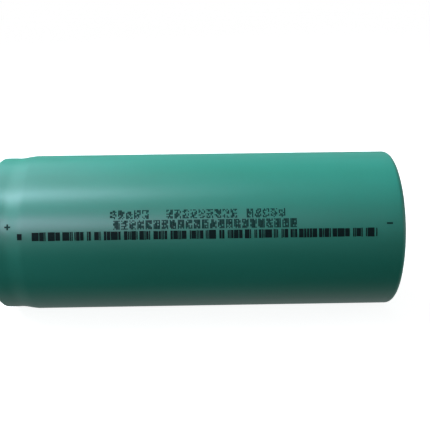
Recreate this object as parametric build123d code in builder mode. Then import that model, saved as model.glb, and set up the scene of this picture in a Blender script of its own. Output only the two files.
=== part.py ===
# Cylindrical lithium-ion cell, 26 mm across and 65.8 mm long, as an assembly of its separate pieces.
#
# Frame: millimetres, +Z up. The cell lies on its side with its axis along X. The origin is the
# cell's centre, on its axis. The positive end points to -X and the negative end to +X.
# Heights are measured along the axis from the negative end towards the positive end.
import os

from build123d import *

os.makedirs("parts", exist_ok=True)

# Driving dimensions
length = 65.8              # over both terminals
sleeve_radius = 13.0       # barrel, over the sleeve
sleeve_wall = 0.12
can_wall = 0.25
play = 0.01                # between the sleeve and what it is shrunk on
slip = 0.02                # between two pieces that rest on each other inside

# Sleeve
cap_proud = 0.41               # the cap's top over the sleeve's lip
sleeve_top = length - cap_proud
negative_lip_radius = 10.1     # openings that leave the terminals bare
positive_lip_radius = 10.8
sleeve_corner = 0.92
top_corner = 0.85
sleeve_shoulder_radius = 12.66 # over the crimped end, which is slimmer than the barrel
sleeve_dip_radius = 12.52      # where the film sinks over the bead
sleeve_dip_rise = 0.6          # the film's deepest ring, above the bead's centre
sleeve_ridge_rise = 1.6        # where it meets the crimped end
sleeve_bends = [2.5, 1.5, 1.0] # radii of the film's turns over the bead

# Can, on its outside
ring_wall = 0.2
can_radius = sleeve_radius - sleeve_wall - play
shoulder_radius = sleeve_shoulder_radius - sleeve_wall - play
land_height = sleeve_wall + play   # ring of the base that the sleeve's lip covers
face_height = 0.06                 # bare middle of the base
face_radius = 9.6
face_step = 0.2
base_corner = 0.8
bead_depth = 4.1                   # the rolled groove's centre, below the sleeve's top
bead_height = sleeve_top - bead_depth
bead_half = 1.25
bead_point = 11.0                  # where the groove's two flanks would meet
bead_bottom = 0.6
bead_edge = 0.75
lip_top = sleeve_top - sleeve_wall - ring_wall - 2 * play
lip_radius = 10.85
lip_corner = 0.7

# Spot welds of the negative tab, seen as dimples on the base
weld_spacing = 2.4
weld_radius = 0.7
weld_depth = 0.07

# Closure, from the top down
cap_wall = 0.4
cap_top_radius = 6.1
cap_foot_radius = 8.1
cap_bend = 0.6
gasket_wall = 0.45
gasket_corner_width = 0.75         # the gasket's lower outer corner is cut off
gasket_corner_height = 0.55
gasket_inset = 0.1
closure_radius = shoulder_radius - can_wall - slip - gasket_wall
fold_wall = 0.35
ring_hole = 8.9
flange_top = lip_top - can_wall - fold_wall
window_count = 4
window_arc = 44
window_radius = 7.2
window_width = 0.9
ptc_wall = 0.3
ptc_inset = 0.4                    # the fuse ring's hole, outside the web's hinge
vent_wall = 0.3
web_wall = 0.15
gasket_foot = 0.4
vent_hinge_radius = 8.0            # the web flexes inside this radius
web_bend = 1.0
web_flat = 1.2                     # level ring of the web next to the button
web_lift = 0.05                    # the web over the faces beside it
button_radius = 2.3
button_wall = 0.18
button_rim_wall = 0.28
button_rim = 0.4
button_rim_slope = 0.1
button_edge = 0.06
button_rim_edge = 0.02
holder_radius = 10.6               # insulating holder of the weld plate
holder_floor = 0.3
holder_ledge = 0.6                 # how far it reaches under the plate
holder_inset = 0.2                 # its top's hole, outside the web's hinge
plate_radius = 9.5
plate_wall = 0.45
plate_depth = 1.85                 # the plate's top, below the flange's
plate_top = flange_top - plate_depth
plate_hole_count = 6
plate_hole_radius = 1.0
plate_hole_place = 6.0

# Roll: four layers wound together
core_radius = 2.2
roll_radius = 12.0
half_turns = 27
separator_wall = 0.05
layer_gap = 0.01
roll_floor = 1.0
roll_headroom = 3.0                # between the roll and the bead, with the floor under the roll
anode_margin = 1.0                 # how much lower each sheet is than the separators
cathode_margin = 2.0
separator_height = bead_height - roll_headroom
anode_height = separator_height - anode_margin
cathode_height = separator_height - cathode_margin

# Small pieces in the can
insulator_wall = 0.3
tape_wall = 0.05
tab_wall = 0.1
positive_tab_width = 3.0
negative_tab_width = 4.0
tab_reach = 4.5                    # how far a tab runs past the axis
pin_radius = 1.9
pin_wall = 0.25
pin_margin = 0.6
pin_edge = 0.15
closing_margin = 8
insulator_gap = 0.5                # between the roll and the disc above it
upper_hole_count = 5
upper_hole_place = 5.0
upper_hole_radius = 0.9
lower_hole_count = 4
lower_hole_place = 6.0
lower_hole_radius = 1.0
lower_inset = 0.4                  # leaves room for the negative tab
slot_width = 1.2                   # where the positive tab passes
slot_length = 4.6
fold_gap = 0.15                    # between the folded tab and the disc
positive_bend = 0.3
negative_bend = 0.5
tab_tape_height = 0.75
tab_tape_gap = 0.05
leg_height = 12                    # how far the negative tab stands beside the roll
leg_tape_rise = 2
leg_tape_height = 8
leg_tape_width = 5.0

half_section = Plane(origin=(length / 2, 0, 0), x_dir=(0, 0, 1), z_dir=(0, -1, 0))   # x = radius, y = height
cell_axis = Axis((length / 2, 0, 0), (-1, 0, 0))


def deck(height):
    """The plane across the cell at this height, facing the positive end."""
    return Plane(origin=(length / 2 - height, 0, 0), x_dir=(0, 0, 1), z_dir=(-1, 0, 0))


def save(piece, name):
    piece.part.label = name
    export_step(piece.part, f"parts/{name}.step")


def shell_profile(points, radii, wall):
    """Section of a thin turned shell: its outside line from the negative end, and its wall inwards."""
    with BuildSketch(half_section) as section:
        with BuildLine():
            FilletPolyline(*points, radius=radii)
            offset(amount=wall, side=Side.LEFT)
        make_face()
    return section.sketch


# Sleeve: one heat-shrunk film, folded over both ends
sleeve_line = [
    (negative_lip_radius, 0),
    (sleeve_radius, 0),
    (sleeve_radius, bead_height - bead_half),
    (sleeve_dip_radius, bead_height + sleeve_dip_rise),
    (sleeve_shoulder_radius, bead_height + sleeve_ridge_rise),
    (sleeve_shoulder_radius, sleeve_top),
    (positive_lip_radius, sleeve_top),
]
with BuildPart() as sleeve:
    revolve(shell_profile(sleeve_line, [sleeve_corner, *sleeve_bends, top_corner], sleeve_wall), cell_axis)
save(sleeve, "sleeve")

# Can: deep-drawn steel, with the bead that carries the closure and the lip crimped over it
can_line = [
    (0, face_height),
    (face_radius, face_height),
    (face_radius + face_step, land_height),
    (can_radius, land_height),
    (can_radius, bead_height - bead_half),
    (bead_point, bead_height),
    (shoulder_radius, bead_height + bead_half),
    (shoulder_radius, lip_top),
    (lip_radius, lip_top),
]
can_corners = [0, 0, base_corner, bead_edge, bead_bottom, bead_edge, lip_corner]
weld_sphere = (weld_radius**2 + weld_depth**2) / (2 * weld_depth)
with BuildPart() as can:
    revolve(shell_profile(can_line, can_corners, can_wall), cell_axis)
    with Locations(deck(face_height - weld_sphere + weld_depth)):
        with Locations((0, weld_spacing / 2), (0, -weld_spacing / 2)):
            Sphere(weld_sphere, mode=Mode.SUBTRACT)
save(can, "can")

# Insulating ring on the crimped lip, under the sleeve's fold
with BuildPart() as top_insulating_ring:
    with BuildSketch(deck(lip_top + play)):
        Circle(shoulder_radius - lip_corner)
        Circle(ring_hole, mode=Mode.SUBTRACT)
    extrude(amount=ring_wall)
save(top_insulating_ring, "top_insulating_ring")

# Positive cap: a pressed steel dome with vent windows in its slope and a flange that is crimped
cap_line = [
    (closure_radius, flange_top),
    (cap_foot_radius, flange_top),
    (cap_top_radius, length),
    (0, length),
]
with BuildPart() as top_cap:
    revolve(shell_profile(cap_line, [cap_bend, cap_bend], cap_wall), cell_axis)
    with BuildSketch(deck(flange_top - cap_wall)):
        with PolarLocations(0, window_count, start_angle=45):
            SlotArc(CenterArc((0, 0), window_radius, -window_arc / 2, window_arc), window_width)
    extrude(amount=length, mode=Mode.SUBTRACT)
save(top_cap, "top_cap")

# Resettable fuse ring under the cap's flange
ptc_top = flange_top - cap_wall - slip
with BuildPart() as ptc_ring:
    with BuildSketch(deck(ptc_top - ptc_wall)):
        Circle(closure_radius)
        Circle(vent_hinge_radius + ptc_inset, mode=Mode.SUBTRACT)
    extrude(amount=ptc_wall)
save(ptc_ring, "ptc_ring")

# Vent disc: rim, thin web and centre button of one stamped aluminium disc
vent_top = ptc_top - ptc_wall - slip
with BuildPart() as vent_rim:
    with BuildSketch(deck(vent_top - vent_wall)):
        Circle(closure_radius)
        Circle(vent_hinge_radius, mode=Mode.SUBTRACT)
    extrude(amount=vent_wall)
save(vent_rim, "vent_rim")

button_floor = plate_top + slip
web_line = [
    (button_radius + slip, button_floor + web_lift),
    (button_radius + web_flat, button_floor + web_lift),
    (vent_hinge_radius - slip, vent_top - vent_wall + web_lift),
]
with BuildPart() as vent_web:
    revolve(shell_profile(web_line, web_bend, web_wall), cell_axis)
save(vent_web, "vent_web")

with BuildPart() as vent_button:
    with BuildSketch(half_section):
        with BuildLine():
            FilletPolyline(
                (0, button_floor),
                (button_radius, button_floor),
                (button_radius, button_floor + button_rim_wall),
                (button_radius - button_rim, button_floor + button_rim_wall),
                (button_radius - button_rim - button_rim_slope, button_floor + button_wall),
                (0, button_floor + button_wall),
                radius=[button_edge, button_edge, button_rim_edge, button_rim_edge],
            )
            Line((0, button_floor + button_wall), (0, button_floor))
        make_face()
    revolve(axis=cell_axis)
save(vent_button, "vent_button")

# Gasket: the plastic ring that the crimp squeezes round the closure
gasket_outside = shoulder_radius - can_wall - slip
gasket_low = vent_top - vent_wall - slip - gasket_foot
with BuildPart() as gasket:
    with BuildSketch(half_section):
        with BuildLine():
            Polyline(
                (holder_radius + gasket_inset, gasket_low),
                (gasket_outside - gasket_corner_width, gasket_low),
                (gasket_outside, gasket_low + gasket_corner_height),
                (gasket_outside, lip_top - can_wall - slip),
                (lip_radius, lip_top - can_wall - slip),
                (lip_radius, flange_top + slip),
                (closure_radius + slip, flange_top + slip),
                (closure_radius + slip, gasket_low + gasket_foot),
                (holder_radius + gasket_inset, gasket_low + gasket_foot),
                close=True,
            )
        make_face()
        fillet(vertices().sort_by(lambda corner: corner.X + corner.Y).last, lip_corner - can_wall)
    revolve(axis=cell_axis)
save(gasket, "gasket")

# Holder: keeps the weld plate off the vent disc's rim
holder_top = vent_top - vent_wall - slip
plate_low = plate_top - plate_wall
with BuildPart() as cid_insulator:
    with BuildSketch(half_section):
        with BuildLine():
            Polyline(
                (vent_hinge_radius + holder_inset, holder_top),
                (holder_radius, holder_top),
                (holder_radius, plate_low - holder_floor),
                (plate_radius - holder_ledge, plate_low - holder_floor),
                (plate_radius - holder_ledge, plate_low - slip),
                (plate_radius + slip, plate_low - slip),
                (plate_radius + slip, plate_top + slip),
                (vent_hinge_radius + holder_inset, plate_top + slip),
                close=True,
            )
        make_face()
    revolve(axis=cell_axis)
save(cid_insulator, "cid_insulator")

# Weld plate: the perforated disc that the vent button is welded to
with BuildPart() as weld_plate:
    with BuildSketch(deck(plate_low)):
        Circle(plate_radius)
        with PolarLocations(plate_hole_place, plate_hole_count):
            Circle(plate_hole_radius, mode=Mode.SUBTRACT)
    extrude(amount=plate_wall)
save(weld_plate, "weld_plate")

# Roll: each layer is a spiral of half turns about two centres half a pitch apart
roll_pitch = 2 * (roll_radius - core_radius) / (half_turns + 1)
coat_wall = (roll_pitch - 2 * separator_wall - 4 * layer_gap) / 2


def wound_layer(inside, wall, height, first, last):
    """One layer, its inner face starting at this radius, from half turn first up to last."""
    with BuildPart() as layer:
        with BuildSketch(deck(roll_floor + (separator_height - height) / 2)):
            with BuildLine():
                for start in (inside, inside + wall):
                    for turn in range(first, last):
                        side = turn % 2
                        CenterArc((side * roll_pitch / 2, 0), start + turn * roll_pitch / 2, 180 * side, 180)
                for turn in (first, last):
                    # an odd half turn ends on the far side of the axis, nearer by half a pitch
                    odd = turn % 2
                    near = inside + (turn - odd) * roll_pitch / 2
                    sign = -1 if odd else 1
                    Line((sign * near, 0), (sign * (near + wall), 0))
            make_face()
        extrude(amount=height)
    return layer


inner_separator = wound_layer(core_radius, separator_wall, separator_height, 0, half_turns)
save(inner_separator, "inner_separator")

anode_inside = core_radius + separator_wall + layer_gap
anode_sheet = wound_layer(anode_inside, coat_wall, anode_height, 1, half_turns)
save(anode_sheet, "anode_sheet")

outer_separator_inside = anode_inside + coat_wall + layer_gap
outer_separator = wound_layer(outer_separator_inside, separator_wall, separator_height, 0, half_turns)
save(outer_separator, "outer_separator")

cathode_inside = outer_separator_inside + separator_wall + layer_gap
cathode_sheet = wound_layer(cathode_inside, coat_wall, cathode_height, 2, half_turns - 1)
save(cathode_sheet, "cathode_sheet")

# Tape that closes the roll, and the steel tube in its core
with BuildPart() as roll_closing_tape:
    with BuildSketch(deck(roll_floor + closing_margin)):
        Circle(roll_radius + slip + tape_wall)
        Circle(roll_radius + slip, mode=Mode.SUBTRACT)
    extrude(amount=separator_height - 2 * closing_margin)
save(roll_closing_tape, "roll_closing_tape")

with BuildPart() as centre_pin:
    with BuildSketch(deck(roll_floor + pin_margin)):
        Circle(pin_radius)
        Circle(pin_radius - pin_wall, mode=Mode.SUBTRACT)
    extrude(amount=separator_height - 2 * pin_margin)
    chamfer(edges().filter_by(GeomType.CIRCLE).filter_by(lambda rim: rim.radius == pin_radius), pin_edge)
save(centre_pin, "centre_pin")

# Insulating discs above and below the roll
upper_height = roll_floor + separator_height + insulator_gap
tab_turn = 16
tab_place = cathode_inside + coat_wall / 2 + tab_turn * roll_pitch / 2
with BuildPart() as upper_insulator:
    with BuildSketch(deck(upper_height)):
        Circle(roll_radius)
        Circle(pin_radius, mode=Mode.SUBTRACT)
        with PolarLocations(upper_hole_place, upper_hole_count, start_angle=180 / upper_hole_count):
            Circle(upper_hole_radius, mode=Mode.SUBTRACT)
        with Locations((tab_place, 0)):
            Rectangle(slot_width, slot_length, mode=Mode.SUBTRACT)
    extrude(amount=insulator_wall)
save(upper_insulator, "upper_insulator")

tab_floor = land_height + can_wall + slip
lower_height = tab_floor + tab_wall + slip
with BuildPart() as lower_insulator:
    with BuildSketch(deck(lower_height)):
        Circle(roll_radius - lower_inset)
        Circle(pin_radius, mode=Mode.SUBTRACT)
        with PolarLocations(lower_hole_place, lower_hole_count):
            Circle(lower_hole_radius, mode=Mode.SUBTRACT)
    extrude(amount=insulator_wall)
save(lower_insulator, "lower_insulator")


def tab_profile(points, bends):
    """Side view of a tab bent from flat strip, its middle line given by radius and height."""
    with BuildSketch(half_section) as section:
        with BuildLine():
            FilletPolyline(*points, radius=bends)
            offset(amount=tab_wall / 2, side=Side.BOTH)
        make_face()
    return section.sketch


# Positive tab: up from the cathode sheet, folded once, to the underside of the weld plate
cathode_top = roll_floor + (separator_height + cathode_height) / 2
fold_height = upper_height + insulator_wall + fold_gap
weld_height = plate_low - slip - tab_wall / 2
positive_line = [
    (tab_place, cathode_top + tab_wall),
    (tab_place, fold_height),
    (-tab_reach, fold_height),
    (-tab_reach, weld_height),
    (tab_reach, weld_height),
]
turn_bend = (weld_height - fold_height) * 0.45     # just under half, so that the fold is nearly round
positive_bends = [positive_bend, turn_bend, turn_bend]
with BuildPart() as positive_tab:
    extrude(tab_profile(positive_line, positive_bends), amount=positive_tab_width / 2, both=True)
save(positive_tab, "positive_tab")

with BuildPart() as positive_tab_tape:
    with BuildSketch(deck(roll_floor + separator_height + tab_tape_gap)):
        with Locations((tab_place, 0)):
            hole = (tab_wall + 2 * slip, positive_tab_width + 2 * slip)
            Rectangle(hole[0] + 2 * tape_wall, hole[1] + 2 * tape_wall)
            Rectangle(*hole, mode=Mode.SUBTRACT)
    extrude(amount=tab_tape_height)
save(positive_tab_tape, "positive_tab_tape")

# Negative tab: down beside the roll, then across the base under the lower insulator
leg_place = roll_radius + 2 * tape_wall + 3 * slip + tab_wall / 2
foot_height = tab_floor + tab_wall / 2
negative_line = [(leg_place, roll_floor + leg_height), (leg_place, foot_height), (-tab_reach, foot_height)]
with BuildPart() as negative_tab:
    extrude(tab_profile(negative_line, negative_bend), amount=negative_tab_width / 2, both=True)
save(negative_tab, "negative_tab")

with BuildPart() as negative_tab_tape:
    with BuildSketch(deck(roll_floor + leg_tape_rise)):
        with Locations((roll_radius + 1.5 * tape_wall + 2 * slip, 0)):
            Rectangle(tape_wall, leg_tape_width)
    extrude(amount=leg_tape_height)
save(negative_tab_tape, "negative_tab_tape")
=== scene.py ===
# Cylindrical battery cell: shrunk film sleeve with its print, bare end faces and everything sealed inside.
import math
import random

import bpy
from mathutils import Matrix, Vector


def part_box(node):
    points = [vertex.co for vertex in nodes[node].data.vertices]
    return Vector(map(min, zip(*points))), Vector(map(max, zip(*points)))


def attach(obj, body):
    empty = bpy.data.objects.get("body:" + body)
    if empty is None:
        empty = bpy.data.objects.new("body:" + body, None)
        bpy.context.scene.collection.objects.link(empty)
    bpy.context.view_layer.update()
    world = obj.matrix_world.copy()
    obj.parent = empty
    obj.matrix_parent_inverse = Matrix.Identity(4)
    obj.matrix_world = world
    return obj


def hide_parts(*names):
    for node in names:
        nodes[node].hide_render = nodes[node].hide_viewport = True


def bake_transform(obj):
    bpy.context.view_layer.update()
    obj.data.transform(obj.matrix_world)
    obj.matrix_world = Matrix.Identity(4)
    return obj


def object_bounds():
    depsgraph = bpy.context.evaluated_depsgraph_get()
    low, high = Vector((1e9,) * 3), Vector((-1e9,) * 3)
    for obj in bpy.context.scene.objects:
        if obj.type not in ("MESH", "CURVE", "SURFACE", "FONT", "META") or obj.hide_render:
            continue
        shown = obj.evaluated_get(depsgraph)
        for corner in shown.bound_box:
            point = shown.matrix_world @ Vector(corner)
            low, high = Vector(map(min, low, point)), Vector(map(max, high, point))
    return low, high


mm = 0.001
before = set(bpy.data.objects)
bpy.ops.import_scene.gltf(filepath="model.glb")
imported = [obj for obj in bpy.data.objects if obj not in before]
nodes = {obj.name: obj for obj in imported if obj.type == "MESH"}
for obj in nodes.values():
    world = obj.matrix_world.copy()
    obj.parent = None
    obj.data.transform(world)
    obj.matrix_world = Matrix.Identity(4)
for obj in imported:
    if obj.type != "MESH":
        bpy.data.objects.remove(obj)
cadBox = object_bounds()
cellLow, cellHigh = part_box("sleeve")
negativeEnd = cadBox[1][0]                   # metres along x; heights run from here towards -x
barrelRadius = cellHigh[2] / mm              # this and the next in mm, like all sizes below
filmTop = (negativeEnd - cellLow[0]) / mm    # height of the sleeve's folded positive edge
print("frame loaded:", len(nodes), "nodes")


# ---------- camera ----------
cameraSet = {
    "distance": 120.2,     # mm from the cell's axis
    "elevation": 18.0,
    "alongAxis": 1.8,      # mm towards the negative end
    "yaw": -0.74,          # degrees, right of square on
    "pitch": 1.17,         # degrees, above the axis
    "roll": 0.85,
    "lens": 58.3,
    "sensor": 36.0,
    "nearest": 0.01,       # metres
    "farthest": 20.0,
}


def placeCamera():
    data = bpy.data.cameras.new("camera")
    data.lens = cameraSet["lens"]
    data.sensor_width = cameraSet["sensor"]
    data.clip_start = cameraSet["nearest"]
    data.clip_end = cameraSet["farthest"]
    camera = bpy.data.objects.new("camera", data)
    bpy.context.scene.collection.objects.link(camera)
    lift = math.radians(cameraSet["elevation"])
    far = cameraSet["distance"] * mm
    camera.location = (cameraSet["alongAxis"] * mm, -far * math.cos(lift), far * math.sin(lift))
    camera.rotation_mode = "XYZ"
    camera.rotation_euler = (math.pi / 2 - lift, 0, 0)
    camera.rotation_euler.rotate_axis("Y", math.radians(cameraSet["yaw"]))
    camera.rotation_euler.rotate_axis("X", math.radians(cameraSet["pitch"]))
    camera.rotation_euler.rotate_axis("Z", math.radians(-cameraSet["roll"]))
    bpy.context.scene.camera = camera


placeCamera()
print("camera placed")


# ---------- modelling helpers ----------
seam = 0.002    # mm within which the first and last ring of a spin are one


def deselectAll():
    for thing in bpy.context.selected_objects:
        thing.select_set(False)


def applyModifier(piece, kind, **settings):
    modifier = piece.modifiers.new(kind.lower(), kind)
    for name, value in settings.items():
        setattr(modifier, name, value)
    bpy.context.view_layer.objects.active = piece
    bpy.ops.object.modifier_apply(modifier=modifier.name)


def applyPlace(piece):
    deselectAll()
    piece.select_set(True)
    bpy.context.view_layer.objects.active = piece
    bpy.ops.object.transform_apply(location=True, rotation=True, scale=True)


def spunShell(name, profile, steps):
    # a circle merged to one point is extruded along (radius, height) points and spun about the cell's axis
    deselectAll()
    radius, height = profile[0]
    bpy.ops.mesh.primitive_circle_add(
        vertices=3, radius=mm, location=(negativeEnd - height * mm, 0, radius * mm)
    )
    piece = bpy.context.object
    piece.name = name
    applyPlace(piece)
    bpy.ops.object.mode_set(mode="EDIT")
    bpy.ops.mesh.select_all(action="SELECT")
    bpy.ops.mesh.merge(type="CENTER")
    for before, after in zip(profile, profile[1:]):
        move = ((before[1] - after[1]) * mm, 0, (after[0] - before[0]) * mm)
        bpy.ops.mesh.extrude_region_move(TRANSFORM_OT_translate={"value": move})
    bpy.ops.mesh.select_all(action="SELECT")
    bpy.ops.mesh.spin(steps=steps, angle=2 * math.pi, center=(0, 0, 0), axis=(1, 0, 0))
    bpy.ops.mesh.select_all(action="SELECT")
    bpy.ops.mesh.remove_doubles(threshold=seam * mm)
    bpy.ops.mesh.normals_make_consistent(inside=False)
    bpy.ops.object.mode_set(mode="OBJECT")
    return piece


def arcPoints(centre, radius, start, end, count):
    points = []
    for step in range(count + 1):
        angle = math.radians(start + (end - start) * step / count)
        points.append((centre[0] + radius * math.cos(angle), centre[1] + radius * math.sin(angle)))
    return points


# ---------- sleeve film ----------
film = {
    "wall": 0.12,
    "negativeLip": 10.1,         # radii of the openings that leave the terminals bare
    "positiveLip": 10.8,
    "corner": 0.92,              # radius of the negative shoulder
    "shoulderCorner": 0.85,      # and of the positive one
    "shoulderRadius": 12.66,     # the slimmer end over the crimp
    "dipRadius": 12.63,          # the film's deepest ring, over the bead
    "dipHeight": 62.4,
    "dipStart": 59.3,
    "dipEnd": 63.4,
    "lipReach": 1.0,             # height of the zone that the folded lip belongs to
    "lipWander": 0.13,           # how far the cut edge strays
    "lipPucker": 0.06,           # how high the small folds stand
    "negativePhase": 1.3,        # so that the two lips differ
    "positivePhase": 4.2,
    "creaseAngles": (105, -75),  # degrees above the front, where the tube lay flat before it was shrunk
    "creaseHigh": 0.03,
    "creaseWide": 0.35,
    "creaseClear": 1.5,          # no crease this near the negative end
    "creaseFade": 4.0,           # length over which it rises at either end
    "steps": 360,                # round the cell
    "lipSteps": 6,
    "cornerSteps": 10,
    "barrelSteps": 24,
    "dipSteps": 18,
    "smooth": 40,                # degrees
}


def ease(share):
    return share * share * (3 - 2 * share)


def dipLine(height):
    # radius of the film where it sinks over the bead and comes out again on the crimp
    if height <= film["dipHeight"]:
        share = (height - film["dipStart"]) / (film["dipHeight"] - film["dipStart"])
        return barrelRadius + (film["dipRadius"] - barrelRadius) * ease(share)
    share = (height - film["dipHeight"]) / (film["dipEnd"] - film["dipHeight"])
    return film["dipRadius"] + (film["shoulderRadius"] - film["dipRadius"]) * ease(share)


def filmProfile():
    # the outer line of the film from the negative lip to the positive one
    corner, shoulder = film["corner"], film["shoulderCorner"]
    lipSteps, barrelSteps, dipSteps = film["lipSteps"], film["barrelSteps"], film["dipSteps"]
    start, end = film["dipStart"], film["dipEnd"]
    foot = barrelRadius - corner
    points = []
    for step in range(lipSteps):
        points.append((film["negativeLip"] + (foot - film["negativeLip"]) * step / lipSteps, 0))
    points += arcPoints((foot, corner), corner, -90, 0, film["cornerSteps"])
    for step in range(1, barrelSteps):
        points.append((barrelRadius, corner + (start - corner) * step / barrelSteps))
    for step in range(dipSteps + 1):
        height = start + (end - start) * step / dipSteps
        points.append((dipLine(height), height))
    foot = film["shoulderRadius"] - shoulder
    points += arcPoints((foot, filmTop - shoulder), shoulder, 0, 90, film["cornerSteps"])
    for step in range(1, lipSteps):
        points.append((foot - (foot - film["positiveLip"]) * step / (lipSteps - 1), filmTop))
    return points


def wander(angle, phase):
    # slow waves round the lip
    return (
        0.5 * math.sin(2 * angle + phase)
        + 0.3 * math.sin(5 * angle + 2.1 * phase)
        + 0.2 * math.sin(11 * angle + 0.7 * phase)
    )


def pucker(angle, phase):
    # small folds that come and go round the lip
    fine = math.sin(37 * angle + phase) * (0.5 + 0.5 * math.sin(3 * angle + phase))
    return 0.6 * fine + 0.4 * math.sin(23 * angle - phase)


def roughenLips(piece):
    reach = film["lipReach"]
    for vertex in piece.data.vertices:
        x, y, z = vertex.co
        height = (negativeEnd - x) / mm
        if reach <= height <= filmTop - reach:
            continue
        if height < reach:
            lip, outer, inward, phase = film["negativeLip"], barrelRadius, 1, film["negativePhase"]
        else:
            lip, outer, inward = film["positiveLip"], film["shoulderRadius"], -1
            phase = film["positivePhase"]
        radius = math.hypot(y, z)
        angle = math.atan2(z, y)
        foot = outer - film["corner"]
        share = min(1, max(0, (foot - radius / mm) / (foot - lip)))  # 0 at the shoulder, 1 at the cut edge
        grow = 1 + film["lipWander"] * wander(angle, phase) * share * mm / radius
        vertex.co.y *= grow
        vertex.co.z *= grow
        hump = math.sin(math.pi * min(1, share * 0.8 + 0.1))
        fold = film["lipPucker"] * (0.5 + 0.5 * pucker(angle, phase)) * hump
        vertex.co.x -= inward * fold * mm


def raiseCreases(piece):
    for vertex in piece.data.vertices:
        x, y, z = vertex.co
        radius = math.hypot(y, z)
        height = (negativeEnd - x) / mm
        clear = min(height - film["creaseClear"], film["dipStart"] - height)
        fade = min(1, max(0, clear / film["creaseFade"]))
        for crease in film["creaseAngles"]:
            turn = math.remainder(math.atan2(z, -y) - math.radians(crease), 2 * math.pi)
            away = turn * radius / mm
            rise = film["creaseHigh"] * math.exp(-((away / film["creaseWide"]) ** 2)) * fade
            grow = 1 + rise * mm / radius
            vertex.co.y *= grow
            vertex.co.z *= grow


def buildSleeve():
    piece = spunShell("sleeveFilm", filmProfile(), film["steps"])
    roughenLips(piece)
    raiseCreases(piece)
    applyModifier(piece, "SOLIDIFY", thickness=film["wall"] * mm, offset=-1, use_even_offset=True)
    deselectAll()
    piece.select_set(True)
    bpy.ops.object.shade_smooth_by_angle(angle=math.radians(film["smooth"]))
    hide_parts("sleeve")
    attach(piece, "cell")
    return piece


sleeveFilm = buildSleeve()
print("sleeve film made")


# ---------- print on the sleeve ----------
ink = {
    "thick": 0.012,        # above the film
    "sunk": 0.004,         # into it
    "facing": cameraSet["elevation"],  # degrees above level where the print's middle lies
    "seed": 26,
    "smooth": 30,
}
bars = {
    "first": (-26.9, 0.75, 0.72),      # the lone block: place, width, share of the height
    "start": -25.0,                    # places along x
    "end": 28.7,
    "middle": -0.78,
    "high": 1.36,
    "module": 0.18,
    "widths": (1, 1, 2, 3, 4, 6),      # in modules
    "runs": (2, 3, 4, 5),              # bars before a wider gap
    "hairline": 0.42,                  # gap inside a run, in modules
    "gaps": (1.0, 1.5, 2.4),
    "ragged": (0.93, 1.03),            # shares of the height
}
dotRows = {
    "pitch": 0.205,
    "dot": 0.178,
    "columns": 5,
    "rows": 7,
    "advance": 1.24,     # from one cell to the next
    "jitter": 0.01,
    # start, cells, middle, share of the dots that are inked, share of the cells left blank
    "lines": [(-12.9, 22, 2.44, 0.66, 0.10), (-12.4, 23, 0.84, 0.84, 0)],
}
marks = {
    "plus": (-28.8, 0.78),
    "minus": (30.2, 0.55),
    "long": 0.95,
    "thick": 0.26,
    "minusThick": 0.299,
}


def joinPatches(name, patches):
    deselectAll()
    for patch in patches:
        patch.select_set(True)
    bpy.context.view_layer.objects.active = patches[0]
    bpy.ops.object.join()
    piece = bpy.context.object
    piece.name = name
    applyPlace(piece)
    return piece


def wrapOnFilm(piece):
    # x stays, y becomes the way round the film from the facing side, z becomes outwards
    for vertex in piece.data.vertices:
        along, around, out = vertex.co
        height = (negativeEnd - along) / mm
        surface = dipLine(height) if height > film["dipStart"] else barrelRadius
        angle = math.radians(ink["facing"]) + around / (barrelRadius * mm)
        reach = (surface - ink["sunk"]) * mm + out
        vertex.co = (along, -reach * math.cos(angle), reach * math.sin(angle))


def finishPrint(piece):
    # gives flat patches their thickness and lays them on the film
    applyModifier(piece, "SOLIDIFY", thickness=(ink["thick"] + ink["sunk"]) * mm, offset=1)
    wrapOnFilm(piece)
    deselectAll()
    piece.select_set(True)
    bpy.context.view_layer.objects.active = piece
    bpy.ops.object.mode_set(mode="EDIT")
    bpy.ops.mesh.select_all(action="SELECT")
    bpy.ops.mesh.normals_make_consistent(inside=False)
    bpy.ops.object.mode_set(mode="OBJECT")
    bpy.ops.object.shade_smooth_by_angle(angle=math.radians(ink["smooth"]))
    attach(piece, "cell")
    return piece


def barPatch(x, y, wide, high, rows=5):
    deselectAll()
    place = (x * mm, y * mm, 0)
    bpy.ops.mesh.primitive_grid_add(x_subdivisions=1, y_subdivisions=rows, size=1, location=place)
    patch = bpy.context.object
    patch.scale = (wide * mm, high * mm, 1)
    return patch


def buildBars():
    draw = random.Random(ink["seed"])
    x, wide, share = bars["first"]
    patches = [barPatch(x, bars["middle"], wide, bars["high"] * share)]
    x = bars["start"]
    while x < bars["end"]:
        for _ in range(draw.choice(bars["runs"])):
            wide = draw.choice(bars["widths"]) * bars["module"]
            if x + wide > bars["end"]:
                x = bars["end"]
                break
            high = bars["high"] * draw.uniform(*bars["ragged"])
            patches.append(barPatch(x + wide / 2, bars["middle"], wide, high))
            x += wide + bars["module"] * bars["hairline"]
        x += draw.choice(bars["gaps"]) * bars["module"]
    return finishPrint(joinPatches("barStrip", patches))


def copyPatch(first, x, y):
    patch = first.copy()
    patch.data = first.data.copy()
    bpy.context.scene.collection.objects.link(patch)
    patch.location = (x * mm, y * mm, 0)
    return patch


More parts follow.
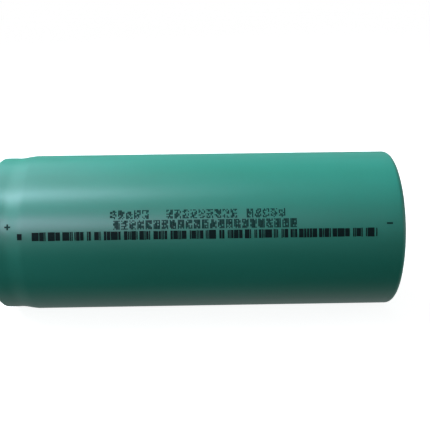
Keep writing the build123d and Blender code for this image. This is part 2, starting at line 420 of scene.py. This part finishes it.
def buildDots():
    # cells of random dots that stand for no character; dots on top of each other are one patch
    draw = random.Random(ink["seed"] + 1)
    dot, pitch, rows, jitter = dotRows["dot"], dotRows["pitch"], dotRows["rows"], dotRows["jitter"]
    runs = [barPatch(0, 0, dot, dot + pitch * more, 1 + more // 3) for more in range(rows)]
    patches = []
    for start, cells, middle, density, blank in dotRows["lines"]:
        for cell in range(cells):
            if draw.random() < blank:
                continue
            for column in range(dotRows["columns"]):
                x = start + cell * dotRows["advance"] + column * pitch + draw.uniform(-jitter, jitter)
                inked = [draw.random() < density for _ in range(rows)] + [False]
                run = 0
                for row, wet in enumerate(inked):
                    if wet:
                        run += 1
                    elif run:
                        y = middle + (row - (run + 1) / 2 - (rows - 1) / 2) * pitch
                        patches.append(copyPatch(runs[run - 1], x, y))
                        run = 0
    for pattern in runs:
        bpy.data.objects.remove(pattern)
    return finishPrint(joinPatches("inkDots", patches))


def crossPatch(x, y, long, thick):
    # a square whose four sides are extruded in turn
    patch = barPatch(x, y, thick, thick, 1)
    arm = (long - thick) / 2 * mm
    side, near = 0.5, 0.01  # before its scale is applied the square is 1 across
    bpy.ops.object.mode_set(mode="EDIT")
    for right, up in ((0, 1), (1, 0), (0, -1), (-1, 0)):
        bpy.ops.mesh.select_all(action="DESELECT")
        bpy.ops.object.mode_set(mode="OBJECT")
        for edge in patch.data.edges:
            ends = [patch.data.vertices[i].co for i in edge.vertices]
            onSide = all(abs(end.x * right + end.y * up - side) < near for end in ends)
            ofSquare = all(abs(end.x * up + end.y * right) < side + near for end in ends)
            edge.select = onSide and ofSquare
        bpy.ops.object.mode_set(mode="EDIT")
        bpy.ops.mesh.extrude_region_move(TRANSFORM_OT_translate={"value": (right * arm, up * arm, 0)})
    bpy.ops.object.mode_set(mode="OBJECT")
    return patch


def buildMarks():
    patches = [
        crossPatch(*marks["plus"], marks["long"], marks["thick"]),
        barPatch(*marks["minus"], marks["long"], marks["minusThick"]),
    ]
    return finishPrint(joinPatches("polarityMarks", patches))


barStrip = buildBars()
inkDots = buildDots()
polarityMarks = buildMarks()
print("print laid on the sleeve")


# ---------- vent web ----------
web = {
    "steps": 144,
    "wall": 0.15,
    "rings": 12,
    "play": 0.02,     # round the button
    "flat": 0.6,      # beside the button, before the web bends
    "bendWide": 0.5,
    "bendRise": 0.02,
}


def buildWeb():
    low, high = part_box("vent_web")
    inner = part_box("vent_button")[1][2] / mm + web["play"]
    outer = high[2] / mm
    foot = (negativeEnd - high[0]) / mm
    head = (negativeEnd - low[0]) / mm - web["wall"]
    flatEnd = inner + web["flat"]
    radius, height = flatEnd + web["bendWide"], foot + web["bendRise"]
    points = [(inner, foot), (flatEnd, foot), (radius, height)]
    for step in range(1, web["rings"] + 1):
        share = step / web["rings"]
        points.append((radius + (outer - radius) * share, height + (head - height) * share))
    piece = spunShell("ventWebSheet", points, web["steps"])
    applyModifier(piece, "SOLIDIFY", thickness=web["wall"] * mm, offset=0)
    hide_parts("vent_web")
    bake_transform(piece)
    return piece


ventWebSheet = buildWeb()
print("vent web made")


# ---------- materials ----------
def newMaterial(name, values):
    material = bpy.data.materials.new(name)
    material.use_nodes = True
    shader = material.node_tree.nodes["Principled BSDF"]
    for socket, value in values.items():
        shader.inputs[socket].default_value = value
    return material


def addNode(material, kind, inputs=None, **settings):
    node = material.node_tree.nodes.new(kind)
    for name, value in settings.items():
        setattr(node, name, value)
    for socket, value in (inputs or {}).items():
        node.inputs[socket].default_value = value
    return node


def join(material, source, output, target, socket):
    material.node_tree.links.new(source.outputs[output], target.inputs[socket])


def shaderOf(material):
    return material.node_tree.nodes["Principled BSDF"]


def mappedNoise(material, scale, stretch=(1, 1, 1), detail=3.0, roughness=0.5):
    place = addNode(material, "ShaderNodeTexCoord")
    mapping = addNode(material, "ShaderNodeMapping", {"Scale": stretch})
    values = {"Scale": scale, "Detail": detail, "Roughness": roughness}
    noise = addNode(material, "ShaderNodeTexNoise", values)
    join(material, place, "Object", mapping, "Vector")
    join(material, mapping, "Vector", noise, "Vector")
    return noise


def ramp(material, source, stops):
    node = addNode(material, "ShaderNodeValToRGB")
    for element, (position, colour) in zip(node.color_ramp.elements, stops):
        element.position = position
        element.color = (*colour, 1)
    join(material, source, 0, node, "Fac")
    return node


def spread(material, source, low, high):
    # noise lies mostly between 0.3 and 0.7
    values = {"From Min": 0.3, "From Max": 0.7, "To Min": low, "To Max": high}
    node = addNode(material, "ShaderNodeMapRange", values)
    join(material, source, 0, node, "Value")
    return node


def addBump(material, source, deep, under=None):
    node = addNode(material, "ShaderNodeBump", {"Strength": 1.0, "Distance": deep * mm})
    join(material, source, 0, node, "Height")
    if under:
        join(material, under, "Normal", node, "Normal")
    return node


filmFinish = {
    "deep": (0.016, 0.315, 0.228),
    "light": (0.024, 0.372, 0.282),
    "rough": (0.32, 0.42),
    "clouds": (75, (0.35, 1, 1)),      # scale and stretch of each noise
    "streaks": (300, (0.04, 1, 1)),
    "swell": (110, (0.25, 1, 1)),
    "peel": 1400,
    "swellDeep": 0.05,
    "streakDeep": 0.004,
    "peelDeep": 0.0025,
}


def filmMaterial():
    material = newMaterial("tealFilm", {"IOR": 1.53})
    shader = shaderOf(material)
    clouds = mappedNoise(material, *filmFinish["clouds"], detail=3)
    tint = ramp(material, clouds, [(0.3, filmFinish["deep"]), (0.7, filmFinish["light"])])
    join(material, tint, "Color", shader, "Base Color")
    streaks = mappedNoise(material, *filmFinish["streaks"], detail=4)
    join(material, spread(material, streaks, *filmFinish["rough"]), "Result", shader, "Roughness")
    peel = mappedNoise(material, filmFinish["peel"], detail=2)
    swell = mappedNoise(material, *filmFinish["swell"], detail=1)
    normal = addBump(material, swell, filmFinish["swellDeep"])
    normal = addBump(material, streaks, filmFinish["streakDeep"], under=normal)
    normal = addBump(material, peel, filmFinish["peelDeep"], under=normal)
    join(material, normal, "Normal", shader, "Normal")
    return material


inkFinish = {
    # the ink's colour where it lies thick and where the film shows through
    "bars": ((0.0008, 0.014, 0.014), (0.0016, 0.026, 0.026)),
    "dots": ((0.0025, 0.036, 0.032), (0.0055, 0.080, 0.072)),
    "rough": (0.5, 0.7),
    "grain": 2600,
    "grainDeep": 0.003,
}


def inkMaterial(name, thick, thin):
    material = newMaterial(name, {"IOR": 1.35, "Specular IOR Level": 0.15})
    shader = shaderOf(material)
    grain = mappedNoise(material, inkFinish["grain"], detail=3)
    tint = ramp(material, grain, [(0.3, thick), (0.75, thin)])
    join(material, tint, "Color", shader, "Base Color")
    join(material, spread(material, grain, *inkFinish["rough"]), "Result", shader, "Roughness")
    join(material, addBump(material, grain, inkFinish["grainDeep"]), "Normal", shader, "Normal")
    return material


metal = {
    "stains": 120,
    "scratches": ((5200, 25, 0.70), (4300, 115, 0.71)),   # scale, turn in degrees, how rare from 0 to 1
    "scratchShine": 1.12,
    "scratchDeep": -0.0008,
    "rings": 5200,
    "ringDeep": 0.0009,
    "wear": 700,
    "grain": 1500,
    "grainDeep": 0.0008,
    "burn": (1.35, (0.92, 0.82, 0.66)),                   # radius round a weld, tint
    "pit": (0.72, (0.72, 0.74, 0.82)),
}


def rings(material, scale, detail=3.0):
    # noise that changes with the distance from the cell's axis only: the marks of drawing and spinning
    place = addNode(material, "ShaderNodeTexCoord")
    flat = addNode(material, "ShaderNodeVectorMath", {1: (0, 1, 1)}, operation="MULTIPLY")
    length = addNode(material, "ShaderNodeVectorMath", operation="LENGTH")
    values = {"Scale": scale, "Detail": detail}
    noise = addNode(material, "ShaderNodeTexNoise", values, noise_dimensions="1D")
    join(material, place, "Object", flat, 0)
    join(material, flat, "Vector", length, 0)
    join(material, length, "Value", noise, "W")
    return noise


def scratches(material, scale, turn, fine):
    # thin bright lines where stretched noise is above the value of fine
    place = addNode(material, "ShaderNodeTexCoord")
    stretched = {"Rotation": (math.radians(turn), 0, 0), "Scale": (1, 0.03, 1)}
    mapping = addNode(material, "ShaderNodeMapping", stretched)
    noise = addNode(material, "ShaderNodeTexNoise", {"Scale": scale, "Detail": 2.0, "Distortion": 0.4})
    lines = addNode(material, "ShaderNodeMapRange", {"From Min": fine, "From Max": fine + 0.05})
    join(material, place, "Object", mapping, "Vector")
    join(material, mapping, "Vector", noise, "Vector")
    join(material, noise, "Fac", lines, "Value")
    return lines


def spots(material, places, radius):
    # one at each weld, fading to nothing at its radius
    place = addNode(material, "ShaderNodeTexCoord")
    total = None
    for spot in places:
        centre = [part * mm for part in spot]
        away = addNode(material, "ShaderNodeVectorMath", {1: centre}, operation="DISTANCE")
        fall = {"From Min": radius * mm, "From Max": 0.1 * radius * mm}
        near = addNode(material, "ShaderNodeMapRange", fall, interpolation_type="SMOOTHSTEP")
        join(material, place, "Object", away, 0)
        join(material, away, "Value", near, "Value")
        if total:
            both = addNode(material, "ShaderNodeMath", operation="MAXIMUM")
            join(material, total, 0, both, 0)
            join(material, near, 0, both, 1)
            total = both
        else:
            total = near
    return total


def mixed(material, factor, under, colour):
    # the colour covers what is under it where the factor is 1
    node = addNode(material, "ShaderNodeMix", data_type="RGBA")
    join(material, factor, 0, node, "Factor")
    join(material, under, 2 if under.type == "MIX" else 0, node, 6)
    node.inputs[7].default_value = (*colour, 1)
    return node


def tinted(colour, tint):
    return [part * share for part, share in zip(colour, tint)]


def metalMaterial(name, colour, shade, rough, welds=()):
    material = newMaterial(name, {"Metallic": 1.0})
    shader = shaderOf(material)
    stains = mappedNoise(material, metal["stains"], detail=5, roughness=0.6)
    tone = ramp(material, stains, [(0.32, shade), (0.62, colour)])
    marksAcross = [scratches(material, *values) for values in metal["scratches"]]
    wear = rings(material, metal["wear"], 1.0)
    grain = mappedNoise(material, metal["grain"], detail=2)
    normal = addBump(material, rings(material, metal["rings"]), metal["ringDeep"])
    normal = addBump(material, grain, metal["grainDeep"], under=normal)
    for lines in marksAcross:
        normal = addBump(material, lines, metal["scratchDeep"], under=normal)
        tone = mixed(material, lines, tone, [min(1, part * metal["scratchShine"]) for part in colour])
    if welds:
        for radius, tint in (metal["burn"], metal["pit"]):
            tone = mixed(material, spots(material, welds, radius), tone, tinted(shade, tint))
    join(material, tone, 2, shader, "Base Color")
    total = addNode(material, "ShaderNodeMath", operation="ADD")
    half = addNode(material, "ShaderNodeMath", {1: 0.5}, operation="MULTIPLY")
    join(material, stains, 0, total, 0)
    join(material, wear, 0, total, 1)
    join(material, total, 0, half, 0)
    join(material, spread(material, half, *rough), "Result", shader, "Roughness")
    join(material, normal, "Normal", shader, "Normal")
    return material


def plainMaterial(name, colour, shade, rough, grain, deep, stretch=(1, 1, 1)):
    material = newMaterial(name, {})
    shader = shaderOf(material)
    noise = mappedNoise(material, grain, stretch, detail=4)
    join(material, ramp(material, noise, [(0.3, shade), (0.7, colour)]), "Color", shader, "Base Color")
    join(material, spread(material, noise, *rough), "Result", shader, "Roughness")
    join(material, addBump(material, noise, deep), "Normal", shader, "Normal")
    return material


weldAway = 1.2    # of the two welds on the base, each side of the axis
baseWelds = [(negativeEnd / mm, weldAway, 0), (negativeEnd / mm, -weldAway, 0)]
steel = ((0.74, 0.73, 0.71), (0.63, 0.615, 0.59))     # clean, stained
nickel = ((0.66, 0.64, 0.60), (0.55, 0.53, 0.50))
brightAluminium = ((0.84, 0.85, 0.86), (0.74, 0.75, 0.77))
plainFinishes = {
    # name: colour, shade, roughness, scale of the grain, its depth, stretch of the grain
    "fibrePaper": ((0.86, 0.85, 0.80), (0.74, 0.72, 0.67), (0.80, 0.95), 1500, 0.02),
    "naturalPolypropylene": ((0.84, 0.85, 0.82), (0.76, 0.77, 0.74), (0.35, 0.5), 400, 0.004),
    "carbonPolymer": ((0.035, 0.035, 0.038), (0.018, 0.018, 0.02), (0.5, 0.7), 1800, 0.004),
    "separatorFilm": ((0.90, 0.90, 0.89), (0.82, 0.82, 0.81), (0.4, 0.55), 700, 0.002, (0.1, 1, 1)),
    "cathodeCoat": ((0.030, 0.030, 0.033), (0.014, 0.014, 0.016), (0.7, 0.9), 2500, 0.003),
    "graphiteCoat": ((0.045, 0.045, 0.048), (0.022, 0.022, 0.024), (0.55, 0.75), 2200, 0.003),
    "closingTape": ((0.10, 0.42, 0.20), (0.07, 0.34, 0.16), (0.25, 0.4), 300, 0.002, (1, 0.2, 0.2)),
    "amberTape": ((0.62, 0.30, 0.05), (0.50, 0.22, 0.03), (0.2, 0.35), 300, 0.002),
}
finishes = {
    "tealFilm": filmMaterial(),
    "barInk": inkMaterial("barInk", *inkFinish["bars"]),
    "dotInk": inkMaterial("dotInk", *inkFinish["dots"]),
    "canSteel": metalMaterial("canSteel", *steel, (0.13, 0.27), baseWelds),
    "capSteel": metalMaterial("capSteel", *steel, (0.15, 0.30)),
    "tabNickel": metalMaterial("tabNickel", *nickel, (0.25, 0.40)),
    "softAluminium": metalMaterial("softAluminium", *brightAluminium, (0.28, 0.45)),
}
for name, values in plainFinishes.items():
    finishes[name] = plainMaterial(name, *values)

wornBy = {
    "tealFilm": [sleeveFilm],
    "barInk": [barStrip],
    "dotInk": [inkDots, polarityMarks],
    "canSteel": [nodes["can"]],
    "capSteel": [nodes["top_cap"], nodes["centre_pin"]],
    "tabNickel": [nodes["negative_tab"]],
    "softAluminium": [
        ventWebSheet,
        nodes["vent_rim"],
        nodes["vent_button"],
        nodes["weld_plate"],
        nodes["positive_tab"],
    ],
    "fibrePaper": [nodes["top_insulating_ring"]],
    "naturalPolypropylene": [
        nodes["gasket"],
        nodes["cid_insulator"],
        nodes["upper_insulator"],
        nodes["lower_insulator"],
    ],
    "carbonPolymer": [nodes["ptc_ring"]],
    "separatorFilm": [nodes["inner_separator"], nodes["outer_separator"]],
    "cathodeCoat": [nodes["cathode_sheet"]],
    "graphiteCoat": [nodes["anode_sheet"]],
    "closingTape": [nodes["roll_closing_tape"]],
    "amberTape": [nodes["positive_tab_tape"], nodes["negative_tab_tape"]],
}
for name, pieces in wornBy.items():
    for piece in pieces:
        piece.data.materials.clear()
        piece.data.materials.append(finishes[name])
print("materials made")


# ---------- floor, light and world ----------
studio = {
    "floorSize": 6.0,                  # metres
    "floorTone": 0.5,
    "floorRough": 0.9,
    "floorGlow": 0.9,
    "seen": 1.0,                       # brightness of the ground behind the floor
    "fillAim": (-0.78, -0.30, 0.55),   # the side that the soft fill comes from
    "fill": (0.018, 0.21),             # away from there, towards there
    "mirrorAim": (0, 0, 1),
    "mirror": (0.07, 0.50),            # what glossy surfaces see below, above
    "fade": (-0.5, 0.9),               # how gradually the one becomes the other
}
cool = (0.86, 1.0, 1.09)
sky = (0.90, 0.97, 1.20)
white = (1, 1, 1)
lamps = {
    # name: place, aim, size along x, size across, all in metres; watts, colour, lights matt, seen in gloss
    "overhead": ((-0.20, 0.07, 0.25), (0, 0, 0), 0.32, 0.24, 1.58, cool, True, False),
    "frontFill": ((-0.08, -0.10, 0.03), (0, 0, 0), 0.06, 0.06, 0.017, cool, True, False),
    "leftWindow": ((-0.29, -0.16, 0.55), (-0.02, 0, 0), 0.44, 0.16, 2.45, sky, False, True),
    "leftSky": ((-0.24, 0.28, 0.50), (-0.02, 0, 0), 0.28, 0.5, 0.6, sky, False, True),
    "frontStrip": ((-0.25, -0.52, 0.30), (-0.02, 0, 0), 0.42, 0.04, 2.1, sky, False, True),
    "rightFill": ((0.45, 0.12, 0.0), (0.03, 0, 0), 0.3, 0.3, 0.45, white, True, False),
    "rightCard": ((0.62, -0.20, 0.11), (0.03, -0.1, 0.05), 0.45, 0.27, 0.42, white, True, True),
    "leftCard": ((-0.62, 0.04, 0.17), (-0.03, 0, 0), 0.5, 0.27, 0.42, white, True, True),
    "floorBehind": ((0, 0.13, -0.10), (0, 0.13, 0), 0.6, 0.31, 0.19, white, False, True),
    "floorRight": ((0.44, 0.10, -0.10), (0.44, 0.10, 0), 0.5, 0.9, 0.40, white, False, True),
    "floorLeft": ((-0.54, -0.10, -0.10), (-0.54, -0.10, 0), 0.5, 0.9, 0.55, white, False, True),
}


def buildFloor():
    deselectAll()
    bpy.ops.mesh.primitive_plane_add(size=studio["floorSize"], location=(0, 0, -barrelRadius * mm))
    floor = bpy.context.object
    floor.name = "floor"
    values = {
        "Base Color": (*[studio["floorTone"]] * 3, 1),
        "Roughness": studio["floorRough"],
        "Emission Color": (*white, 1),
        "Emission Strength": studio["floorGlow"],
    }
    floor.data.materials.append(newMaterial("paleFloor", values))
    floor.visible_diffuse = False
    floor.visible_glossy = False
    floor.visible_shadow = False


def levelTurn(backwards):
    # turns a lamp to face its aim with its long side as near the cell's direction as it can be
    back = backwards.normalized()
    side = Vector((1, 0, 0)) if abs(back.x) < 0.9 else Vector((0, 1, 0))
    side = (side - back * side.dot(back)).normalized()
    across = back.cross(side)
    return Matrix((side, across, back)).transposed().to_euler()


def buildLamps():
    for name, (place, aim, wide, deep, watts, colour, lights, shines) in lamps.items():
        data = bpy.data.lights.new(name, "AREA")
        data.shape = "RECTANGLE"
        data.size = wide
        data.size_y = deep
        data.energy = watts
        data.color = colour
        lamp = bpy.data.objects.new(name, data)
        lamp.location = place
        lamp.visible_camera = False
        lamp.visible_diffuse = lights
        lamp.visible_glossy = shines
        lamp.rotation_euler = levelTurn(Vector(place) - Vector(aim))
        bpy.context.scene.collection.objects.link(lamp)


def skyLight(tree, towards, levels):
    place = tree.nodes.new("ShaderNodeTexCoord")
    side = tree.nodes.new("ShaderNodeVectorMath")
    side.operation = "DOT_PRODUCT"
    side.inputs[1].default_value = towards
    lift = tree.nodes.new("ShaderNodeMapRange")
    lift.interpolation_type = "SMOOTHSTEP"
    lift.inputs["From Min"].default_value, lift.inputs["From Max"].default_value = studio["fade"]
    lift.inputs["To Min"].default_value, lift.inputs["To Max"].default_value = levels
    light = tree.nodes.new("ShaderNodeBackground")
    light.inputs["Color"].default_value = (*white, 1)
    tree.links.new(place.outputs["Generated"], side.inputs[0])
    tree.links.new(side.outputs["Value"], lift.inputs["Value"])
    tree.links.new(lift.outputs["Result"], light.inputs["Strength"])
    return light


def buildWorld():
    world = bpy.data.worlds.new("studio")
    world.use_nodes = True
    bpy.context.scene.world = world
    tree = world.node_tree
    tree.nodes.clear()
    path = tree.nodes.new("ShaderNodeLightPath")
    seen = tree.nodes.new("ShaderNodeBackground")
    seen.inputs["Color"].default_value = (*white, 1)
    seen.inputs["Strength"].default_value = studio["seen"]
    mirror = skyLight(tree, studio["mirrorAim"], studio["mirror"])
    shade = skyLight(tree, studio["fillAim"], studio["fill"])
    for ray, light in (("Is Glossy Ray", mirror), ("Is Camera Ray", seen)):
        mix = tree.nodes.new("ShaderNodeMixShader")
        tree.links.new(path.outputs[ray], mix.inputs["Fac"])
        tree.links.new(shade.outputs[0], mix.inputs[1])
        tree.links.new(light.outputs[0], mix.inputs[2])
        shade = mix
    out = tree.nodes.new("ShaderNodeOutputWorld")
    tree.links.new(shade.outputs[0], out.inputs["Surface"])


buildFloor()
buildLamps()
buildWorld()
bpy.context.scene.view_settings.view_transform = "Standard"
print("stage lit")
